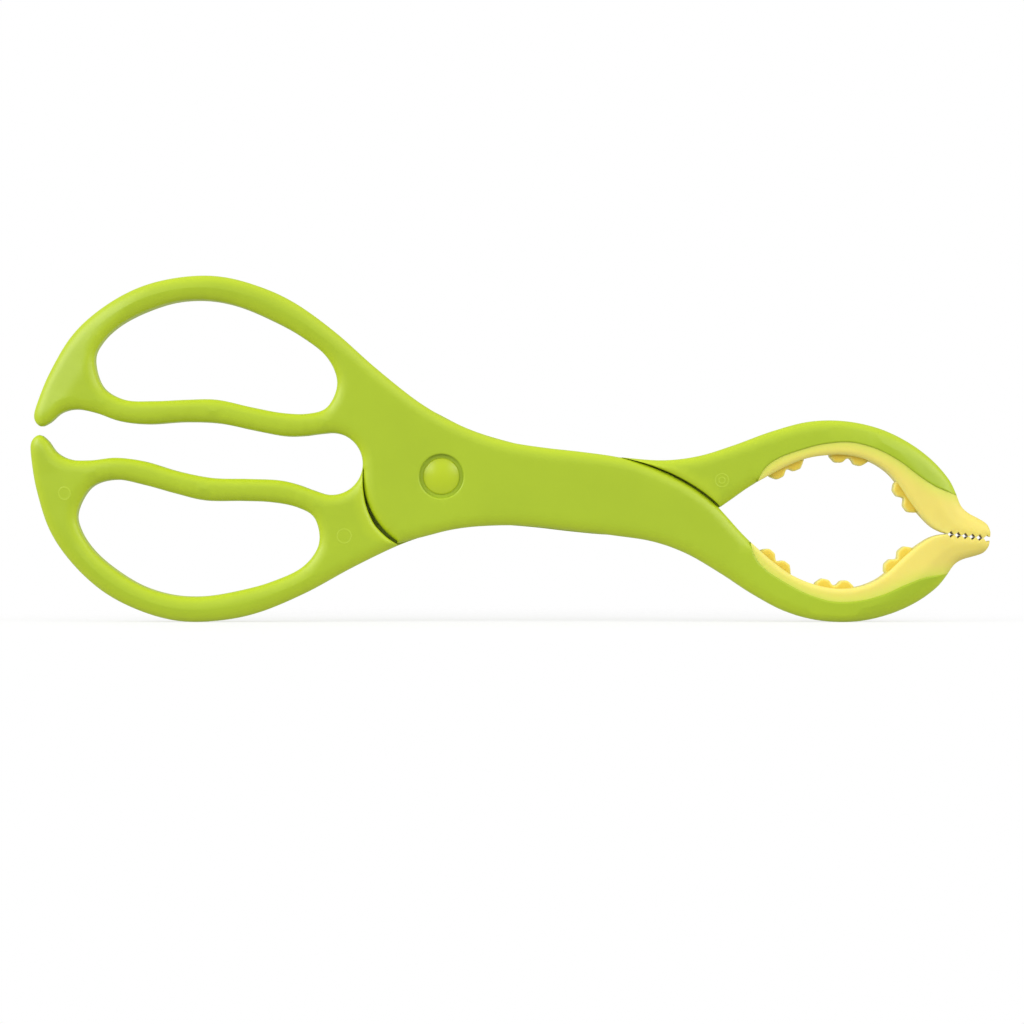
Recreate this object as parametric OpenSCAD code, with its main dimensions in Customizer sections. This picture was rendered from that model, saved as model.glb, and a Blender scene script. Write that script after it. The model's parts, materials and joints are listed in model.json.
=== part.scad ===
// Scissor lifting tongs for jars and bottles: two crossed arms on one snap pivot,
// with soft liners in the jaws. The tongs stand on edge. The jaws point along +X, the
// thickness runs along Y, and the front face looks towards -Y.

/* [Stance] */
// Overall length of the closed tongs. The outlines and the saw teeth scale with it
tool_length = 220.1; // [180:0.1:260]
// Slope of the centre line when the tongs stand, jaw end down, in degrees
stance_slope = 6.5; // [0:0.5:10]

/* [Arms] */
// Thickness of the handles and of the crossing
arm_t = 10; // [9:0.5:14]
// Thickness at the end of a handle horn
horn_t = 6.5; // [5:0.5:8]
// Thickness at the beak of the jaws
beak_t = 6.5; // [5:0.5:8]
// Radius, at a length of 220.1, of the round hub that turns inside the other arm's shoulder
hub_r = 17.95; // [16:0.05:18]
// Gap between a hub and the shoulder round it
hub_gap = 0.9; // [0.4:0.1:1.2]
// Gap between the crossing bar of one arm and the shoulder of the other
bar_gap = 0.7; // [0.4:0.1:1.2]
// Gap between the two lapped halves at the crossing
lap_gap = 0.2; // [0.1:0.05:0.4]

/* [Pivot] */
// Radius of the snap stud's shaft
stud_r = 3; // [2.5:0.1:3.5]
// Radial running clearance round the shaft
stud_clear = 0.05; // [0.02:0.01:0.1]
// Radius of the stud's and the cap's domed heads
head_r = 4.2; // [4:0.1:5]
// Width of the ring groove round each head
groove_w = 0.85; // [0.5:0.05:1.2]
// Depth of the seat that each head lies in
seat_depth = 1.3; // [1:0.1:2]
// Height of the dome on each head
dome_h = 0.7; // [0.3:0.1:0.8]
// Radius of the stud's snap spigot
spigot_r = 1.6; // [1.3:0.1:2]

/* [Jaw liners] */
// How far a liner's faces lie below the arm's faces
liner_step = 0.3; // [0.1:0.1:1]
// Width of the grip nubs across the jaw
nub_t = 6; // [4:0.5:7]
// Radius of a grip nub
nub_r = 1.8; // [1:0.1:2]
// Number of saw notches along each beak
notches = 6; // [3:1:6]
// Distance from notch to notch at a length of 220.1
notch_pitch = 1.67; // [1.4:0.01:1.7]
// Depth of a saw notch at a length of 220.1
notch_depth = 0.75; // [0.4:0.05:0.9]
// Gap between each beak and the centre line when the tongs are closed
beak_gap = 0.1; // [0.05:0.05:0.2]

/* [Hidden] */

lime = [0.62, 0.76, 0.16];
bright_lime = [0.70, 0.84, 0.14];
cream_yellow = [0.93, 0.86, 0.44];

drawn_length = 220.1;
k = tool_length / drawn_length;
span_steps = 4;
arc_step = 6;
over = 1;

// How far one solid of a piece reaches into the next.
bite = 0.05;

// The outlines lie in the plane of the tongs, with the pivot at the origin, the centre
// line along X and the jaws towards +X. They give one arm, with its handle above the
// centre line. Its jaw is drawn above the line too, and is mirrored to below it.

// Top edge of the arm, from the jaw's inner corner over the crossing to the horn.
bar_edge = k * [[71.95, -6.93], [69.2, -4.7], [66.2, -2.0], [63, 0.7], [59, 3.2], [54.5, 5.3],
    [50, 6.9], [45, 8.2], [39, 9.0], [31, 9.2], [22, 9.2], [14, 9.6], [7, 10.9], [-0.5, 13.2]];
loop_edge = k * [[-0.5, 13.2], [-8, 16.8], [-18, 23.1], [-28, 30.1], [-38, 35.7], [-47, 38.6],
    [-56, 39.7], [-65, 38.4], [-74, 35], [-82, 29.3], [-88, 22.4], [-92, 13.6], [-94, 6.5],
    [-94.4, 2.8], [-92.7, 1.0], [-90.6, 2.1], [-88.2, 4.6], [-84.8, 5.8], [-80, 5.4],
    [-74.5, 4.2], [-68, 4.3], [-60, 5.7], [-52, 6.3], [-44, 5.6], [-37, 5.1], [-32.5, 5.6],
    [-29.6, 6.3], [-27.14, 6.86]];
crotch_at = k * [-25.3, 0];
crotch_r = k * 7.1;
crotch_from = 105;
hub_from = 182;
hub_to = 242;

// Finger hole in the handle loop.
hole_edge = k * [[-82, 17.5], [-80.7, 21.9], [-77, 26.2], [-71.5, 29.9], [-65, 32.8],
    [-58, 34], [-51, 33.5], [-43.5, 31.4], [-36, 28.4], [-29.25, 24.2], [-26.15, 18.6],
    [-27.7, 12.9], [-32, 10.8], [-38, 10.3], [-45, 10.8], [-53, 11.6], [-60, 10.8],
    [-67, 9.7], [-74, 9.2], [-79.5, 11.6]];

// Lower edge of the hub, from the hub's arc to the jaw, and the jaw's outer edge.
underside = k * [[-8.3, 16.4], [-2.5, 14.2], [4, 11.8], [11, 10.2], [20, 9.1], [31, 9.0],
    [41, 9.0], [50, 9.4], [58, 11.3], [66, 14.8], [74, 18.8], [82, 21.9], [90, 23.0],
    [98, 22.3], [105, 20.0], [111, 16.6], [115.5, 12.6], [117.8, 9.1]];

// Line where the liner meets the arm, from the beak back to the jaw's inner corner.
seam = k * [[117.8, 9.1], [112.8, 10.4], [108.3, 12.6], [103.5, 15.4], [98, 17.5],
    [92, 18.3], [86, 17.2], [81, 15.3], [76.2, 12.9], [73.2, 10.1], [71.95, 6.93]];

// Inner edge of the liner, from the jaw's inner corner to the first saw notch.
liner_inner = k * [[71.95, 6.93], [75, 9.1], [78.5, 11.4], [82.5, 13.5], [87.5, 14.9],
    [92.5, 15.3], [97.5, 14.4], [101.5, 12.4], [104.4, 9.7], [107.1, 6.5], [109.8, 3.7],
    [112.5, 1.5], [114.6, 0.5], [116.3, 0.1]];
lip_edge = k * [[126.45, 0.45], [126.4, 1.6], [125.7, 3.0], [124.7, 3.75], [123.1, 4.45],
    [120.8, 5.4], [119.1, 6.75], [117.8, 9.1]];
notch_end = k * 125.65;
notch_open = 0.42;
saw_pitch = k * notch_pitch;
saw_depth = k * notch_depth;
nubs_at = k * [[76.4, 9.6], [80, 11.85], [89.9, 14.5], [94.5, 14.5], [104.8, 8.9], [107.8, 6.0]];

// Half thickness along the centre line: full over the handles and the crossing, and
// thinner towards the horns and the beak.
horn_taper = k * [-94.5, -62];
beak_taper = k * [88, 127];
taper_steps = 8;

bore_r = stud_r + stud_clear;
seat_r = head_r + groove_w;
seat_z = arm_t / 2 - seat_depth;
head_clear = 0.05;
crown_z = arm_t / 2 - head_clear;
shoulder_r = k * hub_r + hub_gap;
pocket_corners = k * [[0, 30], [72, 30]];

// The stud's shaft ends at split_z, where the cap's boss begins.
split_z = -2.2;
spigot_end = -4.1;
snap_r = spigot_r + 0.25;
snap_l = 0.5;

round_fn = 96;
shaft_fn = 64;
small_fn = 32;

// One point of a Catmull-Rom curve between b and c, at t from 0 to 1.
function curve_point(a, b, c, d, t) =
    0.5 * (2 * b + (c - a) * t + (2 * a - 5 * b + 4 * c - d) * t * t
        + (3 * b - a - 3 * c + d) * t * t * t);

// A smooth line through the points, open at its ends.
function smooth(p) = let (n = len(p) - 1) concat(
    [for (i = [0:n - 1], s = [0:span_steps - 1])
        curve_point(p[max(i - 1, 0)], p[i], p[i + 1], p[min(i + 2, n)], s / span_steps)],
    [p[n]]);

// A smooth closed line through the points.
function smooth_ring(p) = let (n = len(p))
    [for (i = [0:n - 1], s = [0:span_steps - 1])
        curve_point(p[(i + n - 1) % n], p[i], p[(i + 1) % n], p[(i + 2) % n], s / span_steps)];

function arc(centre, r, from, to) = let (n = ceil(abs(to - from) / arc_step))
    [for (i = [0:n]) let (a = from + (to - from) * i / n) centre + r * [cos(a), sin(a)]];

function flipped(p) = [for (q = p) [q.x, -q.y]];
function turned(p, a) = [for (q = p) [q.x * cos(a) - q.y * sin(a), q.x * sin(a) + q.y * cos(a)]];
function reversed(p) = [for (i = [len(p) - 1:-1:0]) p[i]];

// The line moved sideways by d, to the left of its direction.
function beside(p, d) = [for (i = [0:len(p) - 1])
    let (t = p[min(i + 1, len(p) - 1)] - p[max(i - 1, 0)]) p[i] + d * [-t.y, t.x] / norm(t)];

// Half thickness at the fraction s of a taper, from full to end_t.
function taper_half(end_t, s) = arm_t / 2 - (arm_t - end_t) / 2 * s * s;

arm_line = concat(
    smooth(bar_edge),
    smooth(loop_edge),
    arc(crotch_at, crotch_r, crotch_from, 0),
    arc([0, 0], k * hub_r, hub_from, hub_to),
    smooth(flipped(underside)),
    smooth(flipped(seam)));

// Saw notches, counted back from the open one at the very tip. Each has two upper
// corners, at -1 and 1, and its bottom at 0.
saw_edge = [for (i = [notches - 1:-1:0], e = [-1, 0, 1])
    if (i > 0 || e < 1)
        [notch_end - (i - e * notch_open) * saw_pitch, beak_gap + (e == 0 ? saw_depth : 0)]];

liner_line = flipped(concat(smooth(liner_inner), saw_edge, smooth(lip_edge), smooth(seam)));

profile_line = let (
    horn = [for (i = [taper_steps:-1:0]) let (s = i / taper_steps)
        [horn_taper[1] + (horn_taper[0] - horn_taper[1]) * s, taper_half(horn_t, s)]],
    beak = [for (i = [0:taper_steps]) let (s = i / taper_steps)
        [beak_taper[0] + (beak_taper[1] - beak_taper[0]) * s, taper_half(beak_t, s)]],
    upper = concat([[horn_taper[0] - over, horn_t / 2]], horn, beak,
        [[beak_taper[1] + over, beak_t / 2]]))
    concat(upper, reversed(flipped(upper)));

// Where the pivot stands above the ground, with both low edges on the ground.
low_edges = concat(turned(arm_line, -stance_slope), turned(flipped(arm_line), -stance_slope));
tips = turned(concat(liner_line, flipped(liner_line)), -stance_slope);
pivot_h = -min([for (q = low_edges) q.y]);
rear_x = min([for (q = low_edges) q.x]);
front_x = max([for (q = tips) q.x]);
pivot_x = -(rear_x + front_x) / 2;

// Places a piece drawn flat round the pivot into the standing tongs.
module stand() {
    translate([pivot_x, 0, pivot_h]) rotate([90, 0, 0]) rotate([0, 0, -stance_slope]) children();
}

// Turns a piece of the front arm over, so that it serves the back arm.
module turned_over() {
    rotate([180, 0, 0]) children();
}

// A flat outline at full thickness, cut to the side profile of the tongs. The step
// takes a little off both faces.
module slab(line, step = 0) {
    intersection() {
        linear_extrude(arm_t, center = true) polygon(line);
        translate([0, 0, -step]) rotate([90, 0, 0])
            linear_extrude(tool_length, center = true) polygon(profile_line);
        translate([0, 0, step]) rotate([90, 0, 0])
            linear_extrude(tool_length, center = true) polygon(profile_line);
    }
}

// The room that the other arm's half takes at the crossing.
module lap_pocket() {
    circle(r = shoulder_r, $fn = round_fn);
    polygon(concat(beside(smooth(flipped(bar_edge)), bar_gap), pocket_corners));
}

// One arm: a finger loop, half the thickness at the crossing, and a curved jaw.
module arm() {
    difference() {
        slab(arm_line);
        linear_extrude(arm_t + over, center = true) polygon(smooth_ring(hole_edge));
        translate([0, 0, lap_gap / 2 - arm_t]) linear_extrude(arm_t) lap_pocket();
        cylinder(r = bore_r, h = arm_t + over, center = true, $fn = shaft_fn);
        translate([0, 0, seat_z]) cylinder(r = seat_r, h = seat_depth + over, $fn = round_fn);
    }
}

// Soft liner of one jaw, with a saw-toothed beak and grip nubs.
module liner() {
    slab(liner_line, liner_step);
    for (q = flipped(nubs_at)) {
        translate([q.x, q.y, -nub_t / 2]) cylinder(r = nub_r, h = nub_t, $fn = small_fn);
    }
}

// A low domed head whose flat side lies at z.
module head(z) {
    rim = crown_z - dome_h - z;
    dome_r = (head_r * head_r + dome_h * dome_h) / (2 * dome_h);
    translate([0, 0, z]) cylinder(r = head_r, h = rim, $fn = round_fn);
    intersection() {
        translate([0, 0, crown_z - dome_r]) sphere(r = dome_r, $fn = round_fn);
        translate([0, 0, z + rim - bite]) cylinder(r = head_r, h = dome_h + over, $fn = round_fn);
    }
}

// The stud's thin end, with its snap ring.
module spigot() {
    translate([0, 0, spigot_end])
        cylinder(r = spigot_r, h = split_z - spigot_end + bite, $fn = shaft_fn);
    translate([0, 0, spigot_end]) cylinder(r = snap_r, h = snap_l, $fn = shaft_fn);
}

module front_arm() {
    color(lime) stand() arm();
}

module back_arm() {
    color(lime) stand() turned_over() arm();
}

module front_arm_liner() {
    color(cream_yellow) stand() liner();
}

module back_arm_liner() {
    color(cream_yellow) stand() turned_over() liner();
}

module pivot_stud() {
    color(bright_lime) stand() {
        head(seat_z);
        translate([0, 0, split_z])
            cylinder(r = stud_r, h = seat_z - split_z + bite, $fn = shaft_fn);
        spigot();
    }
}

module pivot_cap() {
    color(bright_lime) stand() difference() {
        union() {
            turned_over() head(seat_z + head_clear);
            translate([0, 0, -seat_z - head_clear - bite])
                cylinder(r = stud_r, h = split_z + seat_z + head_clear + bite, $fn = shaft_fn);
        }
        spigot();
    }
}

front_arm();
back_arm();
front_arm_liner();
back_arm_liner();
pivot_stud();
pivot_cap();
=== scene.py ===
"""Finished scissor lifting tongs: two moulded arms, two soft jaw liners and a snap pivot."""

import json
import math

import bmesh
import bpy
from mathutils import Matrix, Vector, geometry, kdtree


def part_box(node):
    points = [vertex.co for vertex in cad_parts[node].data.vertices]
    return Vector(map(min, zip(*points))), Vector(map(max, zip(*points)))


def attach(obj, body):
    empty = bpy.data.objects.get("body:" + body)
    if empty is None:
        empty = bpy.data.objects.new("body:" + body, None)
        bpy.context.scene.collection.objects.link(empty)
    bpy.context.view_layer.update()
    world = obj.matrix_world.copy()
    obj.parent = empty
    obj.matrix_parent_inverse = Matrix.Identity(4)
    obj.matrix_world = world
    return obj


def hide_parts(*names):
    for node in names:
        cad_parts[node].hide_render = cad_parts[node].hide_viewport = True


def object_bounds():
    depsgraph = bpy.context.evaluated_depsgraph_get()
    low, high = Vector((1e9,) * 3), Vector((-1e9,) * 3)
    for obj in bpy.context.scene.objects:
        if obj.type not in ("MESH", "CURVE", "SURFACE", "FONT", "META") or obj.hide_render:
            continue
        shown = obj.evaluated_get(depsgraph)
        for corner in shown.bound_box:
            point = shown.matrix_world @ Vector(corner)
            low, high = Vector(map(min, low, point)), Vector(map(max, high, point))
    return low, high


bl_info = {
    "name": "Lifting Tongs",
    "version": (1, 0, 0),
    "blender": (4, 5, 0),
    "location": "View3D > Sidebar > Tongs",
    "description": "Builds scissor lifting tongs with soft jaw liners round a packed frame",
    "category": "Object",
}

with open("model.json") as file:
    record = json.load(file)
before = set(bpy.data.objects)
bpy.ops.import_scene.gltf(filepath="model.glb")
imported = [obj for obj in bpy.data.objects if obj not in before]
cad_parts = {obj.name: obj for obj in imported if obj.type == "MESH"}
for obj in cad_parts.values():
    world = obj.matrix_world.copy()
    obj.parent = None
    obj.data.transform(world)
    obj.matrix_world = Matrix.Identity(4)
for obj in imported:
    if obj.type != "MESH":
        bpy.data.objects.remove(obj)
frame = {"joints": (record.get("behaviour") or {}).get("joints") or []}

MM = 0.001
CAD_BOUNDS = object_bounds()
ARM_LOW, ARM_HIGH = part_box("front_arm")
PIVOT = Vector(frame["joints"][0]["pos_m"])

# Outlines of one arm in millimetres, with the pivot at the origin, the centre line along
# X and the jaws towards +X. The handle lies above the centre line. The jaw's lines are
# drawn above it too, and are flipped to below it.
BAR_EDGE = [(71.95, -6.93), (69.2, -4.7), (66.2, -2.0), (63, 0.7), (59, 3.2), (54.5, 5.3),
            (50, 6.9), (45, 8.2), (39, 9.0), (31, 9.2), (22, 9.2), (14, 9.6), (7, 10.9),
            (-0.5, 13.2)]
LOOP_EDGE = [(-0.5, 13.2), (-8, 16.8), (-18, 23.1), (-28, 30.1), (-38, 35.7), (-47, 38.6),
             (-56, 39.7), (-65, 38.4), (-74, 35), (-82, 29.3), (-88, 22.4), (-92, 13.6),
             (-94, 6.5), (-94.4, 2.8), (-92.7, 1.0), (-90.6, 2.1), (-88.2, 4.6), (-84.8, 5.8),
             (-80, 5.4), (-74.5, 4.2), (-68, 4.3), (-60, 5.7), (-52, 6.3), (-44, 5.6),
             (-37, 5.1), (-32.5, 5.6), (-29.6, 6.3), (-27.14, 6.86)]
CROTCH_AT = (-25.3, 0.0)
CROTCH_R = 7.1
CROTCH_ARC = (105, 0)
HUB_R = 17.95
HUB_ARC = (182, 242)
SHOULDER_ARC = (100, 190)
HORN_TIP = (-94.3, 3.0)
JAW_TIP = (117.8, -9.1)
HOLE_EDGE = [(-82, 17.5), (-80.7, 21.9), (-77, 26.2), (-71.5, 29.9), (-65, 32.8), (-58, 34),
             (-51, 33.5), (-43.5, 31.4), (-36, 28.4), (-29.25, 24.2), (-26.15, 18.6), (-27.7, 12.9),
             (-32, 10.8), (-38, 10.3), (-45, 10.8), (-53, 11.6), (-60, 10.8), (-67, 9.7),
             (-74, 9.2), (-79.5, 11.6)]
UNDERSIDE = [(-8.3, 16.4), (-2.5, 14.2), (4, 11.8), (11, 10.2), (20, 9.1), (31, 9.0),
             (41, 9.0), (50, 9.4), (58, 11.3), (66, 14.8), (74, 18.8), (82, 21.9), (90, 23.0),
             (98, 22.3), (105, 20.0), (111, 16.6), (115.5, 12.6), (117.8, 9.1)]
SEAM = [(117.8, 9.1), (112.8, 10.4), (108.3, 12.6), (103.5, 15.4), (98, 17.5), (92, 18.3),
        (86, 17.2), (81, 15.3), (76.2, 12.9), (73.2, 10.1), (71.95, 6.93)]
LINER_INNER = [(71.95, 6.93), (75, 9.1), (78.5, 11.4), (82.5, 13.5), (87.5, 14.9), (92.5, 15.3),
               (97.5, 14.4), (101.5, 12.4), (104.4, 9.7), (107.1, 6.5), (109.8, 3.7),
               (112.5, 1.5), (114.6, 0.5), (116.3, 0.1)]
LIP_EDGE = [(126.45, 0.45), (126.4, 1.6), (125.7, 3.0), (124.7, 3.75), (123.1, 4.45),
            (120.8, 5.4), (119.1, 6.75), (117.8, 9.1)]
NUB_PAIRS = [((76.4, 9.6), (80.0, 11.85)), ((89.9, 14.5), (94.5, 14.5)),
             ((104.8, 8.9), (107.8, 6.0))]

# Gaps at the crossing: (degrees round the hub, gap) and (place along the bar, gap).
HUB_GAP = [(112, 0.5), (122, 0.75), (138, 0.95), (154, 0.5), (162, 0.25), (170, 0.1)]
BAR_GAP = [(28, 1.0), (36, 0.4), (41, 0.1), (46, 0.2), (52, 0.42), (58, 0.48), (68, 0.45)]
LAP_Z = 0.1
END_T = 6.5
HORN_TAPER = (-94.5, -62.0)
BEAK_TAPER = (88.0, 127.0)
LINER_STEP = 0.3

# Pivot: the bore and the seats in the arms, the heads, the shaft and the snap spigot.
BORE_R = 3.05
SEAT_R = 5.05
SEAT_DEPTH = 1.0
HEAD_R = 4.2
HEAD_SOFT = 0.4
HEAD_CLEAR = 0.05
SEAT_CLEAR = 0.01
STUD_R = 3.0
SPIGOT_R = 1.6
SNAP_R = 1.85
SPLIT_Z = -2.2
SNAP_Z = (-3.6, -4.1)
SPIGOT_CLEAR = 0.05

NOTCHES = 6
NOTCH_PITCH = 1.67
NOTCH_OPEN = 0.42
NOTCH_DEPTH = 0.75
NOTCH_END = 125.65
BEAK_GAP = 0.03

# Grip nubs: how far a pair's web runs past its two humps and how softly it ends, the
# web's share of the rise, half the width of a hump, and the root inside the liner.
NUB_RUN = 2.3
NUB_SOFT = 0.6
NUB_WEB = 0.3
NUB_HALF = 1.45
NUB_ROOT = 1.1

# Radii of the rounded rims, as a number or as (place along X, radius).
RIM_R = [(-94.3, 1.45), (-88, 2.0), (100, 2.0), (117.8, 1.5)]
HOLE_R = 2.0
SHOULDER_R = 0.9
SEAM_R = 0.3
SEAT_RIM_R = 0.3
BEAD_R = [(72.4, 0.5), (76, 0.95), (108, 0.95), (116.3, 0.25)]
LIP_R = [(117.8, 1.5), (121, 1.3), (125.5, 1.3), (126.45, 0.5)]
NOTCH_R = 0.12
NUB_RIM_R = 0.45

# Rims are rounded to an ellipse this much wider than it is deep.
RIM_SPREAD = 1.35

# Slanted flats along the outer edge of the horn and of the jaw's shoulder:
# (place along X, width of the flat) from its beginning to the end of the arm.
HORN_FLAT = [(-70.0, 0.0), (-78.0, 3.0), (-84.0, 6.0), (-90.0, 7.0), (-93.0, 6.0), (-94.3, 4.0)]
JAW_FLAT = [(88.0, 0.0), (96.0, 1.6), (100.0, 2.4), (107.0, 3.6), (114.0, 4.8), (118.0, 4.6),
            (122.0, 3.2), (127.0, 2.2)]
FLAT_SLOPE = 0.21
FLAT_KNEE = 0.16
FLAT_REACH = 12.0

# Ejector pin marks on the rear face: place and radius.
EJECTOR_MARKS = [((-85.4, 13.75), 1.75), ((-20.5, 16.1), 1.6), ((63.8, -6.3), 1.5),
                 ((63.8, -6.3), 0.7)]
MARK_TONE = (0.55, 0.70, 0.06, 1)

# How far from a rim its lighter colour, a painted highlight, reaches into the face, and how far the
# tint beside the seam reaches.
ARM_HIGHLIGHT_REACH = 2.6
BEAD_HIGHLIGHT_REACH = 1.1
SEAM_REACH = 3.2
NUB_HIGHLIGHT_REACH = 0.55

OUTLINE_STEP = 0.8
NUB_STEP = 0.3
ARM_GRID = 3.0
LINER_GRID = 1.6
NUB_GRID = 0.7
CIRCLE_SIDES = 96
DOME_STEPS = 14
SHOULDER_STEPS = 6
RING_ANGLES = (12, 25, 38, 52, 70, 90)
CREASE_SHARES = (0.3, 0.55, 0.76, 0.84, 0.92, 1.0, 1.08, 1.16, 1.24)

# Two drawn points closer than this, in millimetres, are one; a point this close to an
# edge lies on it.
SAME_PLACE = 1e-4
ON_EDGE = 1e-3

# Arm, body, and the side of the tongs that its drawn top face looks to.
HALVES = (("front_arm", "front_half", 1), ("back_arm", "back_half", -1))

# Soft lights: name, place, width of the square and radiance.
LIGHTS = (("left key", (-0.60, -1.04, 0.48), 0.42, 4.2),
          ("right key", (0.60, -1.04, 0.48), 0.42, 4.2),
          ("top light", (0, -0.45, 1.2), 1.6, 0.3),
          ("left side light", (-1.1, -0.5, 0.65), 0.8, 5.8),
          ("right side light", (1.1, -0.5, 0.65), 0.8, 4.2))
STUDIO_LIGHT = 0.56
STUDIO_BACKDROP = 1.0
FLOOR_REACH = 3.0
FLOOR_POOL = (0.07, 0.17)
CAMERA_DISTANCE = 1.0
CAMERA_X = 0.0004
CAMERA_HEIGHT = 0.0252
VIEW_WIDTH = 0.23392
SENSOR_WIDTH = 36.0


class TongsSizes(bpy.types.PropertyGroup):
    """Sizes of the finished tongs"""

    slope: bpy.props.FloatProperty(
        name="Stance slope", description="Slope of the centre line, jaw end down",
        default=math.radians(6.5), subtype="ANGLE")
    arm_thickness: bpy.props.FloatProperty(
        name="Arm thickness", description="Thickness of the handles and of the crossing",
        default=ARM_HIGH.y - ARM_LOW.y, unit="LENGTH")
    nub_width: bpy.props.FloatProperty(
        name="Nub width", description="Width of the grip nubs across the jaw",
        default=6 * MM, unit="LENGTH")
    nub_height: bpy.props.FloatProperty(
        name="Nub height", description="How far a grip nub stands out of the liner",
        default=1.8 * MM, unit="LENGTH")
    dome_rise: bpy.props.FloatProperty(
        name="Dome rise", description="Rise of the pivot's dome above its rim",
        default=0.6 * MM, unit="LENGTH")


class TongsColours(bpy.types.PropertyGroup):
    """Colours of the finished tongs"""

    arms: bpy.props.FloatVectorProperty(
        name="Arms", description="Lime green plastic of the arms", subtype="COLOR",
        size=4, default=(0.340, 0.458, 0.008, 1), min=0, max=1)
    # Painted highlight: a lighter yellow-green along the arms' rims, for the light that the rounded
    # rims catch and the clearer thin plastic there.
    arm_rim_highlights: bpy.props.FloatVectorProperty(
        name="Arm rims", description="Clearer yellow-green where the plastic is thin",
        subtype="COLOR", size=4, default=(0.47, 0.585, 0.010, 1), min=0, max=1)
    # Painted highlight: the pivot heads are a lighter green than the arms, for the light that the
    # domed heads catch.
    pivot: bpy.props.FloatVectorProperty(
        name="Pivot", description="Brighter green of the pivot heads", subtype="COLOR",
        size=4, default=(0.41, 0.515, 0.008, 1), min=0, max=1)
    liner: bpy.props.FloatVectorProperty(
        name="Liner", description="Pale yellow of the soft jaw liners", subtype="COLOR",
        size=4, default=(0.735, 0.62, 0.128, 1), min=0, max=1)
    liner_seam: bpy.props.FloatVectorProperty(
        name="Liner by the seam", description="Greener tint of the liner beside the arm",
        subtype="COLOR", size=4, default=(0.62, 0.66, 0.09, 1), min=0, max=1)
    # Painted highlight: a paler yellow along the liner's bead and the nubs' rims, where their
    # rounded edges catch the light.
    liner_rim_highlights: bpy.props.FloatVectorProperty(
        name="Liner rims", description="Paler yellow of the liner's and the nubs' rims",
        subtype="COLOR", size=4, default=(0.76, 0.685, 0.185, 1), min=0, max=1)
    # Painted shade: the nubs are the liner's rubber shown in shadow, a deeper amber because they
    # are set back behind the liner's faces.
    nubs: bpy.props.FloatVectorProperty(
        name="Nubs", description="Amber of the grip nubs", subtype="COLOR",
        size=4, default=(0.72, 0.53, 0.05, 1), min=0, max=1)


# ---------------------------------------------------------------- shader helpers


class Val:
    """A number in a material, so that its maths reads as an expression."""

    def __init__(self, maker, socket):
        self.maker = maker
        self.socket = socket

    def _math(self, operation, *values):
        return self.maker.value("ShaderNodeMath", {"operation": operation},
                                dict(enumerate(values)))

    def __add__(self, other):
        return self._math("ADD", self, other)

    def __radd__(self, other):
        return self._math("ADD", other, self)

    def __sub__(self, other):
        return self._math("SUBTRACT", self, other)

    def __rsub__(self, other):
        return self._math("SUBTRACT", other, self)

    def __mul__(self, other):
        return self._math("MULTIPLY", self, other)

    def __rmul__(self, other):
        return self._math("MULTIPLY", other, self)

    def __abs__(self):
        return self._math("ABSOLUTE", self)

    def ramp(self, low, high):
        """0 up to low, 1 from high, and a smooth step between."""
        return self.maker.value("ShaderNodeMapRange", {"interpolation_type": "SMOOTHSTEP"},
                                {"Value": self, "From Min": low, "From Max": high})


class Maker:
    """Builds the nodes of a material or a world."""

    def __init__(self, owner, output="ShaderNodeOutputMaterial"):
        self.owner = owner
        self.output = output
        owner.use_nodes = True
        self.tree = owner.node_tree
        self.tree.nodes.clear()

    def node(self, kind, settings, inputs):
        made = self.tree.nodes.new(kind)
        for key, setting in settings.items():
            setattr(made, key, setting)
        for key, given in inputs.items():
            socket = made.inputs[key]
            if isinstance(given, Val):
                given = given.socket
            if isinstance(given, bpy.types.NodeSocket):
                self.tree.links.new(given, socket)
            else:
                socket.default_value = given
        return made

    def value(self, kind, settings, inputs, output=0):
        return Val(self, self.node(kind, settings, inputs).outputs[output])

    def attribute(self, name):
        return self.value("ShaderNodeAttribute", {"attribute_name": name}, {}, "Fac")

    def place(self):
        return self.node("ShaderNodeTexCoord", {}, {}).outputs["Object"]

    def noise(self, place, scale, detail=2.0, roughness=0.5):
        return self.value("ShaderNodeTexNoise", {},
                          {"Vector": place, "Scale": scale, "Detail": detail,
                           "Roughness": roughness}, "Fac")

    def distance(self, place, centre):
        """Distance from a fixed point of the frame."""
        return self.value("ShaderNodeVectorMath", {"operation": "DISTANCE"},
                          {0: place, 1: tuple(centre)}, "Value")

    def mix(self, factor, first, second):
        made = self.node("ShaderNodeMix", {"data_type": "RGBA"},
                         {0: factor, 6: first, 7: second})
        return made.outputs[2]

    def axis(self, place, name):
        return self.value("ShaderNodeSeparateXYZ", {}, {0: place}, name)

    def bump(self, height, strength, distance, normal=None):
        inputs = {"Height": height, "Strength": strength, "Distance": distance}
        if normal is not None:
            inputs["Normal"] = normal
        return self.node("ShaderNodeBump", {}, inputs).outputs[0]

    def finish(self, shader):
        self.node(self.output, {}, {0: shader.outputs[0]})
        return self.owner


def new_material(name):
    return Maker(bpy.data.materials.new(name))


def shaded(colour, amount):
    """A colour made lighter or darker."""
    return [channel * amount for channel in colour[:3]] + [1.0]


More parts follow.
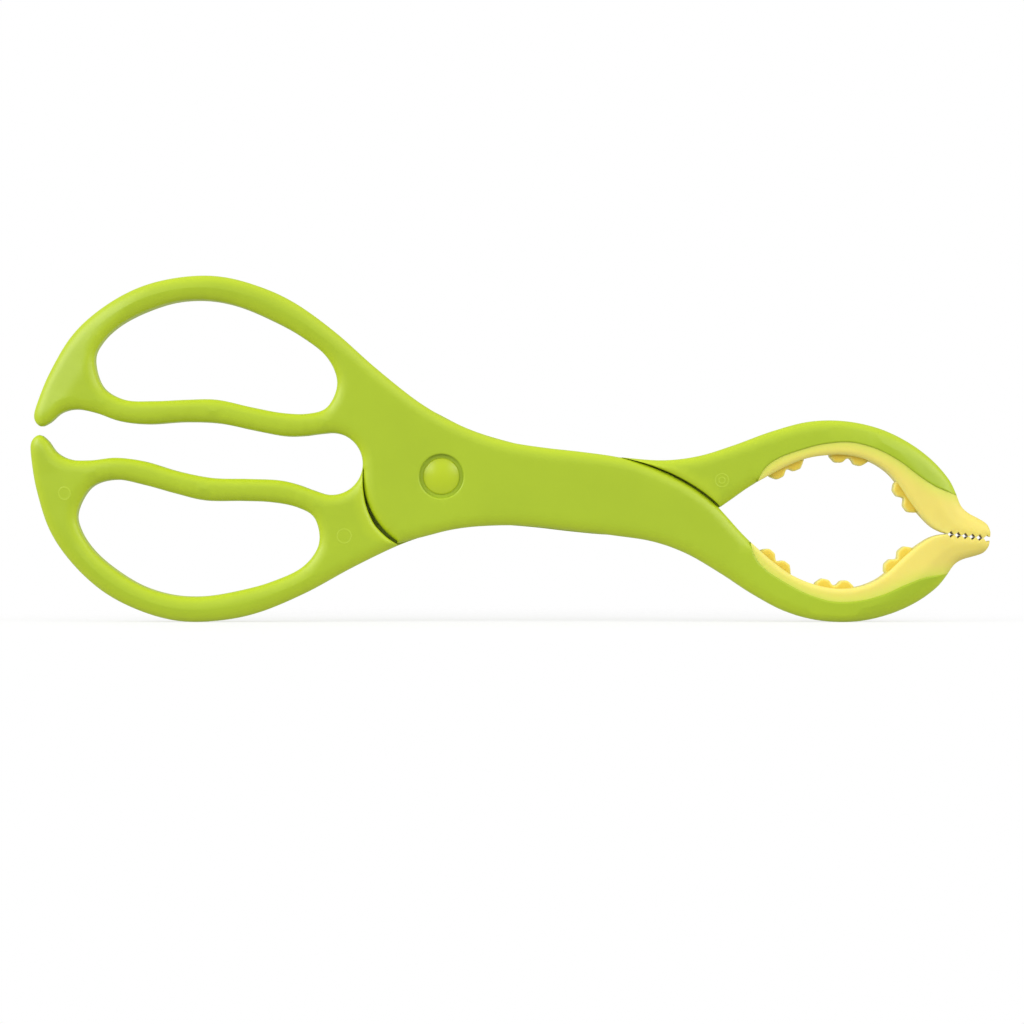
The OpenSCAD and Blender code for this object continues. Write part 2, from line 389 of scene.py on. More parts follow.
def moulded_plastic(name, colour, rim_highlight_colour, marks=(), smoothest=0.38):
    """Satin moulded plastic: faint flow clouds, fine mould grain, a parting line and the
    rings that ejector pins leave at the marks, given as (place, radius) in the frame."""
    m = new_material(name)
    place = m.place()
    clouds = m.noise(place, 55, 3.0)
    flow = m.noise(place, 240, 2.0)
    tone = m.mix(clouds.ramp(0.3, 0.7), shaded(colour, 0.975), shaded(colour, 1.02))
    # Painted highlight: near the rims the tone goes over to the rim colour, for the light that the
    # rounded rims catch and the clearer thin plastic there.
    rim = m.attribute("rim")
    tone = m.mix(rim * (0.65 + 0.35 * flow), tone, tuple(rim_highlight_colour))
    rough = smoothest + 0.06 * clouds + 0.06 * m.noise(place, 900, 4.0)
    grain = m.noise(place, 2600, 3.0, 0.6)
    thickness = m.axis(place, "Y")
    parting = 1 - abs(thickness).ramp(0.00004, 0.00016)
    normal = m.bump(grain, 0.18, 0.00004)
    normal = m.bump(clouds, 0.06, 0.0004, normal)
    normal = m.bump(parting, 0.6, 0.00006, normal)
    for centre, radius in marks:
        away = abs(m.distance(place, centre) - radius)
        ring = 1 - away.ramp(0.00004, 0.00022)
        tone = m.mix(ring * 0.22, tone, MARK_TONE)
        normal = m.bump(ring, 0.5, 0.00006, normal)
    return m.finish(m.node("ShaderNodeBsdfPrincipled", {}, {
        "Base Color": tone, "Roughness": rough, "Normal": normal, "IOR": 1.49,
        "Subsurface Weight": 0.12, "Subsurface Scale": 0.002,
        "Subsurface Radius": (1.0, 1.0, 0.25)}))


def soft_rubber(name, colour, seam_colour, rim_highlight_colour):
    """Soft matt rubber: fine satin grain, paler rims that are a painted highlight, and a tint
    beside the seam.
    """
    m = new_material(name)
    place = m.place()
    clouds = m.noise(place, 90, 3.0)
    tone = m.mix(clouds.ramp(0.25, 0.75), shaded(colour, 0.96), shaded(colour, 1.03))
    tone = m.mix(m.attribute("seam"), tone, tuple(seam_colour))
    # Painted highlight: the rims go over to a paler colour, where the rounded edges catch the
    # light.
    tone = m.mix(m.attribute("rim"), tone, tuple(rim_highlight_colour))
    grain = m.noise(place, 3200, 3.0, 0.65)
    rough = 0.42 + 0.12 * grain + 0.06 * clouds
    normal = m.bump(grain, 0.3, 0.00005)
    normal = m.bump(clouds, 0.25, 0.0005, normal)
    return m.finish(m.node("ShaderNodeBsdfPrincipled", {}, {
        "Base Color": tone, "Roughness": rough, "Normal": normal, "IOR": 1.43,
        "Subsurface Weight": 0.25, "Subsurface Scale": 0.002,
        "Subsurface Radius": (1.0, 0.8, 0.3)}))


def glossy_floor(name):
    """A clear bright sheet that takes a faint soft shadow and a faint reflection."""
    m = new_material(name)
    clear = m.node("ShaderNodeBsdfTransparent", {}, {})
    white = m.node("ShaderNodeBsdfDiffuse", {}, {"Color": (0.9, 0.9, 0.9, 1)})
    gloss = m.node("ShaderNodeBsdfGlossy", {}, {"Roughness": 0.12})
    near = 1 - m.distance(m.place(), (0, 0, 0)).ramp(*FLOOR_POOL)
    body = m.node("ShaderNodeMixShader", {},
                  {0: 0.26 * near, 1: clear.outputs[0], 2: white.outputs[0]})
    return m.finish(m.node("ShaderNodeMixShader", {},
                           {0: 0.04 * near, 1: body.outputs[0], 2: gloss.outputs[0]}))


# ---------------------------------------------------------------- lines and heights


def points(pairs):
    return [Vector(pair) for pair in pairs]


def flipped(line):
    return [Vector((p.x, -p.y)) for p in line]


def smooth(line, closed=False, step=OUTLINE_STEP):
    """A Catmull-Rom line through the points, with no step longer than asked."""
    count = len(line)
    out = []
    for i in range(count if closed else count - 1):
        if closed:
            a, b, c, d = (line[(i + j) % count] for j in (-1, 0, 1, 2))
        else:
            a, b, c, d = line[max(i - 1, 0)], line[i], line[i + 1], line[min(i + 2, count - 1)]
        steps = max(2, math.ceil((c - b).length / step))
        for j in range(steps):
            t = j / steps
            out.append(0.5 * (2 * b + (c - a) * t + (2 * a - 5 * b + 4 * c - d) * t * t
                              + (3 * b - a - 3 * c + d) * t ** 3))
    return out if closed else out + [line[-1]]


def on_circle(centre, radius, angle):
    return Vector(centre) + radius * Vector((math.cos(angle), math.sin(angle)))


def arc(centre, radius, start, end):
    steps = max(2, math.ceil(abs(math.radians(end - start)) * radius / OUTLINE_STEP))
    return [on_circle(centre, radius, math.radians(start + (end - start) * i / steps))
            for i in range(steps + 1)]


def circle(radius):
    return [on_circle((0, 0), radius, math.tau * i / CIRCLE_SIDES) for i in range(CIRCLE_SIDES)]


def joined(*lines):
    """One line from several, without the points that they share."""
    out = []
    for line in lines:
        for p in line:
            if not out or (p - out[-1]).length > SAME_PLACE:
                out.append(p)
    return out


def closed_line(*lines):
    """One closed line from several that meet end to end."""
    out = joined(*lines)
    if (out[0] - out[-1]).length < SAME_PLACE:
        out.pop()
    return out


def normals(line, closed=False):
    """Left-hand normal at each point of a line."""
    last = len(line) - 1
    out = []
    for i in range(len(line)):
        before = line[i - 1] if closed or i else line[0]
        after = line[(i + 1) % len(line)] if closed or i < last else line[last]
        along = (after - before).normalized()
        out.append(Vector((-along.y, along.x)))
    return out


def table(stops, x):
    """Straight-line value between (place, value) stops."""
    stops = sorted(stops)
    if x <= stops[0][0]:
        return stops[0][1]
    for (x0, y0), (x1, y1) in zip(stops, stops[1:]):
        if x <= x1:
            return y0 + (y1 - y0) * (x - x0) / (x1 - x0)
    return stops[-1][1]


def place_of(line, p):
    """Number of the line's point that lies nearest to a place."""
    return min(range(len(line)), key=lambda i: (line[i] - p).length)


def run(line, start, end):
    """Numbers of a closed line's points from start to end, going round."""
    return [i % len(line) for i in range(start, end + 1 if end >= start else end + len(line) + 1)]


def unbroken(places, closed=False):
    """The stretches of a line between the places left out of it, which are None."""
    out, stretch = [], []
    for place in places:
        if place is not None:
            stretch.append(place)
        elif stretch:
            out.append(stretch)
            stretch = []
    if stretch:
        whole = closed and len(stretch) == len(places)
        out.append(stretch + stretch[:1] if whole else stretch)
    return [line for line in out if len(line) > 1]


class Edge:
    """A line that knows how far any point is from it, with a value at each of its points:
    one number for all, or a table of (place along X, number)."""

    def __init__(self, line, value, closed=False):
        self.line = line
        self.values = [table(value, p.x) if isinstance(value, list) else value for p in line]
        self.closed = closed
        self.tree = kdtree.KDTree(len(line))
        for i, p in enumerate(line):
            self.tree.insert((p.x, p.y, 0), i)
        self.tree.balance()

    def near(self, p):
        """Distance to the line, and the line's value at the nearest place."""
        _, i, best = self.tree.find((p.x, p.y, 0))
        value = self.values[i]
        count = len(self.line)
        for a, b in ((i - 1, i), (i, i + 1)):
            if not self.closed and (a < 0 or b >= count):
                continue
            start, end = self.line[a % count], self.line[b % count]
            side = end - start
            t = max(0.0, min(1.0, (p - start).dot(side) / max(side.length_squared, 1e-12)))
            distance = (p - start - side * t).length
            if distance < best:
                best = distance
                value = self.values[a % count] * (1 - t) + self.values[b % count] * t
        return best, value


def rounding(distance, radius):
    """Fall of a rounded rim at a distance from the edge."""
    reach = radius * RIM_SPREAD
    if distance >= reach:
        return 0.0
    return radius - radius * math.sqrt(max(1 - (1 - distance / reach) ** 2, 0.0))


def slanting(distance, width):
    """Fall of a slanted flat that starts softly at its width from the edge."""
    if width < 0.05:
        return 0.0
    t = 1 - distance / width
    if t <= -FLAT_KNEE:
        return 0.0
    return FLAT_SLOPE * width * (t if t >= FLAT_KNEE else (t + FLAT_KNEE) ** 2 / (4 * FLAT_KNEE))


def half_thickness(x, full):
    """Half thickness along the centre line, in millimetres."""
    share = 0.0
    if x < HORN_TAPER[1]:
        share = (x - HORN_TAPER[1]) / (HORN_TAPER[0] - HORN_TAPER[1])
    elif x > BEAK_TAPER[0]:
        share = (x - BEAK_TAPER[0]) / (BEAK_TAPER[1] - BEAK_TAPER[0])
    return full / 2 - (full - END_T) / 2 * min(share, 1.0) ** 2


def sorted_sides(lines):
    """Sides of closed lines, by the whole numbers of Y that they pass."""
    rows = {}
    for line in lines:
        for i, a in enumerate(line):
            b = line[(i + 1) % len(line)]
            low, high = sorted((a.y, b.y))
            for row in range(math.floor(low), math.floor(high) + 1):
                rows.setdefault(row, []).append((a, b))
    return rows


def inside(p, rows):
    """Even-odd test of a point against the sorted sides of closed lines."""
    hit = False
    for a, b in rows.get(math.floor(p.y), ()):
        if (a.y > p.y) != (b.y > p.y):
            if p.x < a.x + (p.y - a.y) * (b.x - a.x) / (b.y - a.y):
                hit = not hit
    return hit


def clear_of(p, edges, spare):
    """Whether a place lies past the rounded rim of every edge, with room to spare."""
    return all(d > RIM_SPREAD * r + spare for d, r in (edge.near(p) for edge in edges))


def grid(line, rows, edges, step):
    """Loose points over the flat middle of a face, clear of its rims."""
    low_x, high_x = min(p.x for p in line), max(p.x for p in line)
    low_y, high_y = min(p.y for p in line), max(p.y for p in line)
    out = []
    y, odd = low_y, False
    while y < high_y:
        x = low_x + (step / 2 if odd else 0)
        while x < high_x:
            p = Vector((x, y))
            if inside(p, rows) and clear_of(p, edges, 0.3 * step):
                out.append(p)
            x += step
        y += step * math.sqrt(3) / 2
        odd = not odd
    return out


def cut_at(outline, line):
    """Puts the two points where a line cuts the closed outline into it, and gives the
    stretch of the line between them."""
    cuts = []
    for i, a in enumerate(outline):
        b = outline[(i + 1) % len(outline)]
        for j in range(len(line) - 1):
            hit = geometry.intersect_line_line_2d(a, b, line[j], line[j + 1])
            if hit is not None:
                cuts.append((i, j, Vector(hit)))
    if len(cuts) != 2:
        raise RuntimeError(f"a shoulder cuts the outline {len(cuts)} times")
    (_, first, start), (_, last, end) = sorted(cuts, key=lambda cut: cut[1])
    for side, _, place in sorted(cuts, reverse=True, key=lambda cut: cut[0]):
        outline.insert(side + 1, place)
    return joined([start], line[first + 1:last + 1], [end])


# ---------------------------------------------------------------- solids


class Solid:
    """A closed shell in millimetres, gathered face by face."""

    def __init__(self):
        self.points = []
        self.faces = []

    def row(self, line, height):
        """Adds a line of points at a height, a number or a function of the place."""
        start = len(self.points)
        for p in line:
            z = height(p) if callable(height) else height
            self.points.append(Vector((p.x, p.y, z)))
        return list(range(start, len(self.points)))

    def wall(self, first, second, closed=True):
        count = len(first)
        for i in range(count if closed else count - 1):
            j = (i + 1) % count
            self.faces.append((first[i], first[j], second[j], second[i]))

    def skin(self, loops, height, rings=(), loose=()):
        """Fills the area between closed loops of (line, numbers), with rings and loose
        points inside it, at the height given for each place."""
        flat, numbers, sides = [], [], []
        for line, ids in loops:
            start = len(flat)
            flat += line
            numbers += ids
            sides += [(start + i, start + (i + 1) % len(line)) for i in range(len(line))]
        for ring in rings:
            start = len(flat)
            flat += ring
            sides += [(start + i, start + i + 1) for i in range(len(ring) - 1)]
        flat += loose
        numbers += [None] * (len(flat) - len(numbers))
        rows = sorted_sides([line for line, _ in loops])
        places, _, faces, origins, _, _ = geometry.delaunay_2d_cdt(flat, sides, [], 0, 1e-5)
        made = {}
        for i in range(len(places)):
            known = [numbers[k] for k in origins[i] if numbers[k] is not None]
            if known:
                made[i] = known[0]
        for face in faces:
            middle = (places[face[0]] + places[face[1]] + places[face[2]]) / 3
            if not inside(middle, rows):
                continue
            for i in face:
                if i not in made:
                    made[i] = self.row([places[i]], height)[0]
            self.faces.append(tuple(made[i] for i in face))

    def piece(self, name, place, material, slot, body, node):
        """Turns the shell into a finished piece that stands for its CAD node: smooth
        shading with crisp corners, a material, and its place in the frame."""
        mesh = bpy.data.meshes.new(name)
        mesh.from_pydata([place(p) for p in self.points], [], self.faces)
        shell = bmesh.new()
        shell.from_mesh(mesh)
        bmesh.ops.remove_doubles(shell, verts=shell.verts, dist=2e-6)
        bmesh.ops.dissolve_degenerate(shell, edges=shell.edges, dist=1e-6)
        bmesh.ops.recalc_face_normals(shell, faces=shell.faces)
        open_sides = sum(not side.is_manifold for side in shell.edges)
        shell.to_mesh(mesh)
        shell.free()
        if open_sides:
            raise RuntimeError(f"{name}: {open_sides} sides aren't shared by two faces")
        mesh.shade_smooth()
        mesh.set_sharp_from_angle(angle=math.radians(38))
        mesh.materials.append(material)
        piece = bpy.data.objects.new(name, mesh)
        bpy.context.scene.collection.objects.link(piece)
        even = piece.modifiers.new("Even shading", "WEIGHTED_NORMAL")
        even.keep_sharp = True
        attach(piece, body)
        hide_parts(node)
        return piece


class Face:
    """One face of a moulding: flat at its base height, less rounded rims and slanted flats.
    The side is 1 for the drawn top face and -1 for the face below it."""

    def __init__(self, base, edges, slants=(), side=1):
        self.base = base
        self.edges = edges
        self.slants = slants
        self.side = side

    def height(self, p):
        drop = max(rounding(*edge.near(p)) for edge in self.edges)
        for slant in self.slants:
            start = slant.line[0].x
            if p.x > start - FLAT_REACH if start > 0 else p.x < start + FLAT_REACH:
                drop += slanting(*slant.near(p))
        return self.side * (self.base(p) - drop)

    def radius(self, p):
        """Radius of the rim that a point of an outline lies on, or 0 for a plain seam."""
        for edge in self.edges:
            distance, radius = edge.near(p)
            if distance < ON_EDGE:
                return radius
        return 0.0

    def rim_rings(self, line, rows):
        """Rings that follow a rim inward, at the places where its rounding turns."""
        sideways = normals(line, True)
        radii = [self.radius(p) for p in line]
        out = []
        for angle in RING_ANGLES:
            share = RIM_SPREAD * (1 - math.cos(math.radians(angle)))
            places = []
            for p, n, radius in zip(line, sideways, radii):
                distance = radius * share
                q = p + n * distance
                fits = distance > 0.004 and inside(q, rows) and all(
                    edge.near(q)[0] > 0.96 * distance for edge in self.edges)
                places.append(q if fits else None)
            out += unbroken(places, closed=True)
        return out

    def creases(self, slant, rows):
        """Lines that follow a slanted flat and the soft crease where it starts."""
        out = []
        for side in (1, -1):
            for share in CREASE_SHARES:
                places = []
                for p, n, width in zip(slant.line, normals(slant.line), slant.values):
                    q = p + side * n * width * share
                    fits = (width > 0.4 and inside(q, rows) and clear_of(q, self.edges, 0.1)
                            and slant.near(q)[0] > 0.9 * width * share)
                    places.append(q if fits else None)
                out += unbroken(places)
        return out

    def cover(self, solid, loops, step, keep_off=()):
        """Adds the face to a solid, between closed loops of (line, numbers). Its grid of
        loose points also stays clear of the edges to keep off."""
        rows = sorted_sides([line for line, _ in loops])
        rings = [ring for line, _ in loops for ring in self.rim_rings(line, rows)]
        for slant in self.slants:
            rings += self.creases(slant, rows)
        loose = grid(loops[0][0], rows, self.edges + keep_off, step)
        solid.skin(loops, self.height, rings, loose)


def slab(solid, outline, base, edges, slants, step, keep_off=()):
    """A flat piece: two faces that mirror each other, and the wall between them."""
    faces = [Face(base, edges, slants, side) for side in (1, -1)]
    numbers = [solid.row(outline, face.height) for face in faces]
    solid.wall(*numbers)
    for face, ids in zip(faces, numbers):
        face.cover(solid, [(outline, ids)], step, keep_off)


def flats():
    """The slanted flats along the outside of the horn and of the jaw's shoulder."""
    horn = [p for p in smooth(points(LOOP_EDGE)) if p.x < HORN_FLAT[0][0]]
    horn = horn[:place_of(horn, Vector(HORN_TIP)) + 1]
    jaw = [p for p in smooth(flipped(points(UNDERSIDE))) if p.x > JAW_FLAT[0][0]]
    jaw = joined(jaw, smooth(flipped(points(LIP_EDGE)))[::-1])
    return Edge(horn, HORN_FLAT), Edge(jaw, JAW_FLAT)


def shoulders():
    """The lines past which the other arm's hub and bar turn, with a gap to each."""
    hub = [p * (1 + table(HUB_GAP, math.degrees(math.atan2(p.y, p.x)) % 360) / HUB_R)
           for p in arc((0, 0), HUB_R, *SHOULDER_ARC)]
    bar = smooth(flipped(points(BAR_EDGE)))
    return hub, [p + n * table(BAR_GAP, p.x) for p, n in zip(bar, normals(bar))]


def thick_end(solid, face, outline, middle, shoulder, tip, holes=()):
    """Closes the full-thickness end of an arm, from its shoulder out to its tip, on the
    rear side. Gives the numbers of the outline's points there, and the shoulder's line and
    foot, which run back from the last of them to the first."""
    start, end = place_of(outline, shoulder[0]), place_of(outline, shoulder[-1])
    outer = run(outline, start, end)
    if place_of(outline, Vector(tip)) in outer:
        shoulder = shoulder[::-1]
    else:
        outer = run(outline, end, start)
    foot = [middle[outer[-1]]] + solid.row(shoulder[1:-1], LAP_Z) + [middle[outer[0]]]
    rim = [outline[i] for i in outer]
    rim_low = solid.row(rim, face.height)
    solid.wall([middle[i] for i in outer], rim_low, closed=False)
    shoulder_low = solid.row(shoulder[1:-1], face.height)
    solid.wall(foot, [rim_low[-1]] + shoulder_low + [rim_low[0]], closed=False)
    face.cover(solid, [(rim + shoulder[1:-1], rim_low + shoulder_low), *holes], ARM_GRID)
    return outer, shoulder, foot


def lapped_half(solid, outline, middle, ends, bore, edges):
    """The lapped half's flat face, which runs between the two thick ends."""
    line, numbers = [], []
    for (outer, shoulder, foot), (other, _, _) in zip(ends, ends[::-1]):
        side = run(outline, other[-1], outer[0])
        line += [outline[i] for i in side] + shoulder[-2:0:-1]
        numbers += [middle[i] for i in side] + foot[-2:0:-1]
    loose = grid(line, sorted_sides([line, bore[0]]), edges, ARM_GRID)
    solid.skin([(line, numbers), bore], LAP_Z, loose=loose)


def arm_solid(full):
    """One moulded arm: finger loop, half-thick crossing with a bored seat, curved jaw."""
    body = joined(smooth(points(BAR_EDGE)), smooth(points(LOOP_EDGE)),
                  arc(CROTCH_AT, CROTCH_R, *CROTCH_ARC), arc((0, 0), HUB_R, *HUB_ARC),
                  smooth(flipped(points(UNDERSIDE))))
    seam = smooth(flipped(points(SEAM)))
    outline = closed_line(body, seam)
    hub, bar = [cut_at(outline, line) for line in shoulders()]
    hole = smooth(points(HOLE_EDGE), closed=True)
    seat, bore = circle(SEAT_R)[::-1], circle(BORE_R)[::-1]

    body_edge, seam_edge = Edge(body, RIM_R), Edge(seam, SEAM_R)
    hole_edge, seat_edge = Edge(hole, HOLE_R, True), Edge(seat, SEAT_RIM_R, True)
    hub_edge, bar_edge = Edge(hub, SHOULDER_R), Edge(bar, SHOULDER_R)
    shared, slants = (seam_edge, body_edge, hole_edge), flats()

    def base(p):
        return half_thickness(p.x, full)

    front = Face(base, shared + (seat_edge,), slants)
    rear = Face(base, shared + (hub_edge, bar_edge), slants, -1)

    solid = Solid()
    top = solid.row(outline, front.height)
    low = min(solid.points[i].z for i in top)
    if low < LAP_Z + 0.05:
        raise RuntimeError(f"the arm's rim falls to {low:.2f} mm, below the lapped half")
    middle = solid.row(outline, LAP_Z)
    hole_top, seat_top = solid.row(hole, front.height), solid.row(seat, front.height)
    front.cover(solid, [(outline, top), (hole, hole_top), (seat, seat_top)], ARM_GRID)

    hole_middle, hole_low = solid.row(hole, LAP_Z), solid.row(hole, rear.height)
    seat_low = solid.row(seat, full / 2 - SEAT_DEPTH)
    bore_top, bore_low = solid.row(bore, full / 2 - SEAT_DEPTH), solid.row(bore, LAP_Z)
    for upper, lower in ((top, middle), (hole_top, hole_middle), (hole_middle, hole_low),
                         (seat_top, seat_low), (seat_low, bore_top), (bore_top, bore_low)):
        solid.wall(upper, lower)

    ends = (thick_end(solid, rear, outline, middle, hub, HORN_TIP, [(hole, hole_low)]),
            thick_end(solid, rear, outline, middle, bar, JAW_TIP))
    lapped_half(solid, outline, middle, ends, (bore, bore_low), (body_edge, hub_edge, bar_edge))
    return solid, (body_edge, hole_edge), (body_edge, hole_edge, hub_edge, bar_edge)


def saw_edge():
    """Saw notches, counted back from the open one at the very tip."""
    out = []
    for i in range(NOTCHES - 1, -1, -1):
        for corner in (-1, 0, 1):
            if i > 0 or corner < 1:
                x = NOTCH_END - (i - corner * NOTCH_OPEN) * NOTCH_PITCH
                out.append(Vector((x, BEAK_GAP + (NOTCH_DEPTH if corner == 0 else 0))))
    return out


def liner_solid(full):
    """One soft liner: a band round the jaw with a beaded rim and a saw-toothed beak."""
    inner, lip, seam = (smooth(points(line)) for line in (LINER_INNER, LIP_EDGE, SEAM))
    saw = saw_edge()
    outline = flipped(closed_line(inner, saw, lip, seam))[::-1]
    inner_edge, saw_line = Edge(flipped(inner), BEAD_R), Edge(flipped(saw), NOTCH_R)
    lip_edge, seam_edge = Edge(flipped(lip), LIP_R), Edge(flipped(seam), 0.0)
    solid = Solid()
    slab(solid, outline, lambda p: half_thickness(p.x, full) - LINER_STEP,
         (lip_edge, saw_line, inner_edge), flats(), LINER_GRID, (seam_edge,))
    return solid, inner_edge, seam_edge


def nub_solid(width, rise):
    """Grip nubs in pairs: two humps on a low web, set back from the liner's faces."""
    inner = smooth(points(LINER_INNER), step=NUB_STEP)
    sideways = normals(inner)
    reach = [0.0]
    for a, b in zip(inner, inner[1:]):
        reach.append(reach[-1] + (b - a).length)
    solid = Solid()
    rims = []
    for pair in NUB_PAIRS:
        middles = [reach[place_of(inner, Vector(place))] for place in pair]
        start, end = middles[0] - NUB_RUN, middles[1] + NUB_RUN
        crest, root = [], []
        for p, n, s in zip(inner, sideways, reach):
            if not start <= s <= end:
                continue
            web = NUB_WEB * rise * min(1.0, min(s - start, end - s) / NUB_SOFT)
            hump = max(1 / (1 + (abs(s - middle) / NUB_HALF) ** 5) for middle in middles)
            crest.append(p - n * (web + (rise - NUB_WEB * rise) * hump))
            root.append(p + n * NUB_ROOT)
        rim = Edge(flipped(crest), NUB_RIM_R)
        slab(solid, flipped(root + crest[::-1]), lambda p: width / 2, (rim,), (), NUB_GRID)
        rims.append(rim)
    return solid, rims


def turned_solid(profile):
    """A solid of revolution round the pivot, from (radius, height) pairs."""
    solid = Solid()
    rows = []
    for radius, height in profile:
        if radius < SAME_PLACE:
            rows.append(solid.row([Vector((0, 0))], height) * CIRCLE_SIDES)
        else:
            rows.append(solid.row(circle(radius), height))
    for first, second in zip(rows, rows[1:]):
        for i in range(CIRCLE_SIDES):
            j = (i + 1) % CIRCLE_SIDES
            corners = dict.fromkeys((first[i], first[j], second[j], second[i]))
            if len(corners) > 2:
                solid.faces.append(tuple(corners))
    return solid


def head_profile(crown, seat, rise):
    """Dome from its crown out, round its shoulder and down to its seat."""
    flat = HEAD_R - HEAD_SOFT
    ball = (flat * flat + rise * rise) / (2 * rise)
    out = []
    for i in range(DOME_STEPS + 1):
        x = flat * i / DOME_STEPS
        out.append((x, crown - ball + math.sqrt(ball * ball - x * x)))
    edge = out[-1][1]
    start = math.asin(flat / ball)
    for i in range(1, SHOULDER_STEPS + 1):
        turn = start + (math.pi / 2 - start) * i / SHOULDER_STEPS
        x = flat + HEAD_SOFT * (math.sin(turn) - math.sin(start)) / (1 - math.sin(start))
        out.append((x, edge - HEAD_SOFT * (math.cos(start) - math.cos(turn))))
    return out + [(HEAD_R, seat)]


# ---------------------------------------------------------------- placing


def standing(side):
    """Maps drawn millimetres to the frame, for the front arm's side or the back arm's."""
    slope = bpy.context.scene.tongs_sizes.slope

    def place(p):
        x, y, z = p.x * MM, p.y * side * MM, p.z * side * MM
        return Vector((PIVOT.x + x * math.cos(slope) + y * math.sin(slope), -z,
                       PIVOT.z - x * math.sin(slope) + y * math.cos(slope)))

    return place


def lies_at(co, side):
    """The drawn place, in millimetres, of a point in the frame."""
    slope = bpy.context.scene.tongs_sizes.slope
    x, z = (co.x - PIVOT.x) / MM, (co.z - PIVOT.z) / MM
    return Vector((x * math.cos(slope) - z * math.sin(slope),
                   side * (x * math.sin(slope) + z * math.cos(slope))))


def painted(piece, name, value_at):
    """Writes a number at every point of a piece, for its material to read."""
    attribute = piece.data.attributes.new(name, "FLOAT", "POINT")
    for i, vertex in enumerate(piece.data.vertices):
        attribute.data[i].value = value_at(vertex.co)


def rim_share(edges, reach):
    """1 on a rim, falling to 0 at its reach into the face."""

    def share(p):
        distance = min(edge.near(p)[0] for edge in edges)
        return max(0.0, 1 - distance / reach) ** 1.5

    return share


def thickness_mm():
    return bpy.context.scene.tongs_sizes.arm_thickness / MM


# ---------------------------------------------------------------- operators


class TONGS_OT_arms(bpy.types.Operator):
    """Build the two moulded arms round the lapped crossing"""

    bl_idname = "tongs.arms"
    bl_label = "Mould Arms"

    def execute(self, context):
        colours = context.scene.tongs_colours
        full = thickness_mm()
        solid, front_rims, rear_rims = arm_solid(full)
        # Painted highlight on the arms' rims: the front face's rims, and on the rear face the
        # shoulders' rims too.
        front = rim_share(front_rims, ARM_HIGHLIGHT_REACH)
        rear = rim_share(rear_rims, ARM_HIGHLIGHT_REACH)
        for name, body, side in HALVES:
            place = standing(side)
            marks = [(place(Vector((*centre, -full / 2))), radius * MM)
                     for centre, radius in EJECTOR_MARKS]
            plastic = moulded_plastic("Lime plastic of " + name, colours.arms,
                                      colours.arm_rim_highlights, marks)
            piece = solid.piece(name + "_moulding", place, plastic, "arm_plastic", body, name)
            painted(piece, "rim", lambda co: (front if co.y * side < 0 else rear)(
                lies_at(co, side)))
        return {"FINISHED"}


class TONGS_OT_liners(bpy.types.Operator):
    """Build the soft jaw liners and their grip nubs"""

    bl_idname = "tongs.liners"
    bl_label = "Mould Jaw Liners"

    def execute(self, context):
        sizes, colours = context.scene.tongs_sizes, context.scene.tongs_colours
        rubber = soft_rubber("Pale yellow rubber", colours.liner, colours.liner_seam,
                             colours.liner_rim_highlights)
        # Painted shade: the nubs take the liner's rubber in a deeper amber, as if in shadow behind
        # the liner's faces.
        shaded_amber = soft_rubber("Amber rubber with painted shade", colours.nubs, colours.nubs, colours.liner_rim_highlights)
        band, inner, seam = liner_solid(thickness_mm())
        nubs, rims = nub_solid(sizes.nub_width / MM, sizes.nub_height / MM)
        # The bead's and the nubs' painted highlights, and the tint beside the seam.
        bead_highlight, beside = rim_share((inner,), BEAD_HIGHLIGHT_REACH), rim_share((seam,), SEAM_REACH)
        edge = rim_share(rims, NUB_HIGHLIGHT_REACH)
        for arm, body, side in HALVES:
            name, place = arm + "_liner", standing(side)
            piece = band.piece(name + "_band", place, rubber, "soft_liner", body, name)
            painted(piece, "rim", lambda co: 0.8 * bead_highlight(lies_at(co, side)))
            painted(piece, "seam", lambda co: beside(lies_at(co, side)))
            grips = nubs.piece(name + "_nubs", place, shaded_amber, "soft_liner", body, name)
            painted(grips, "rim", lambda co: edge(lies_at(co, side)))
            painted(grips, "seam", lambda co: 0.0)
        return {"FINISHED"}


class TONGS_OT_pivot(bpy.types.Operator):
    """Build the snap stud and its cap"""

    bl_idname = "tongs.pivot"
    bl_label = "Turn Pivot"

    def execute(self, context):
        sizes, colours = context.scene.tongs_sizes, context.scene.tongs_colours
        # Painted highlight: the pivot's lighter green stands for the light its domed heads catch.
        plastic = moulded_plastic("Bright lime plastic", colours.pivot, colours.pivot,
                                  smoothest=0.24)
        half = thickness_mm() / 2
        seat = half - SEAT_DEPTH + SEAT_CLEAR
        dome = head_profile(half - HEAD_CLEAR, seat, sizes.dome_rise / MM)
        socket = [(radius, -height) for radius, height in dome]
        for name, heads, top, play in (("pivot_stud", dome, seat, 0.0),
                                       ("pivot_cap", socket, -seat, SPIGOT_CLEAR)):
            shaft = [(STUD_R, top), (STUD_R, SPLIT_Z - play), (SPIGOT_R + play, SPLIT_Z - play),
                     (SPIGOT_R + play, SNAP_Z[0] + play), (SNAP_R + play, SNAP_Z[0] + play),
                     (SNAP_R + play, SNAP_Z[1] - play), (0, SNAP_Z[1] - play)]
            piece = turned_solid(heads + shaft).piece(
                name + "_turned", standing(1), plastic, "pivot_plastic", "front_half", name)
            painted(piece, "rim", lambda co: 0.0)
        return {"FINISHED"}


def area_light(name, place, aim, size, radiance):
    lamp = bpy.data.lights.new(name, "AREA")
    lamp.shape = "SQUARE"
    lamp.size = size
    lamp.energy = radiance * math.pi * size * size
    holder = bpy.data.objects.new(name, lamp)
    bpy.context.scene.collection.objects.link(holder)
    holder.location = place
    holder.rotation_euler = (Vector(aim) - Vector(place)).to_track_quat("-Z", "Y").to_euler()


